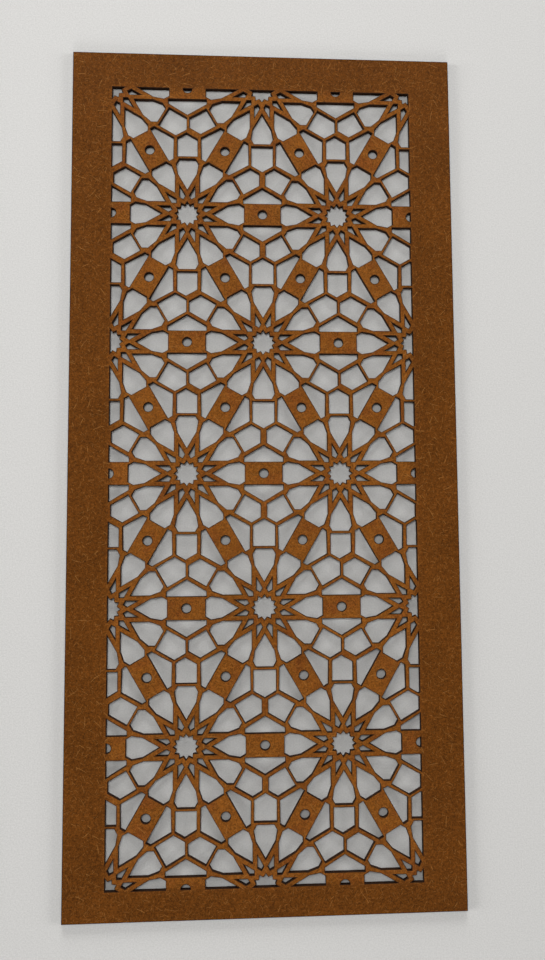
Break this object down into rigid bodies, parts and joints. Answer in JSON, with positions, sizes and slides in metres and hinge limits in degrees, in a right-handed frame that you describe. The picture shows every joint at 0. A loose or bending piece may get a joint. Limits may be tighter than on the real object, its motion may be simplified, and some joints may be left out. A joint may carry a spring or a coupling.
{
  "type": "mashrabiya screen",
  "caption": "Thin rectangular fretwork screen with a pattern of twelve-pointed stars, kites, petals and pentagons inside a plain border.",
  "frame": {"origin": "centre of the underside of the board, which lies on its back", "axes": "+Z out of the face, +Y along the board's length towards its top edge, +X across it to the right as seen on the face"},
  "size_m": [0.3, 0.6632, 0.003],
  "materials": {
    "stained_board": "satin brown stain on fibreboard, cut edges charred dark"
  },
  "bodies": {
    "root": {"fretwork_board": "stained_board"}
  },
  "joints": []
}
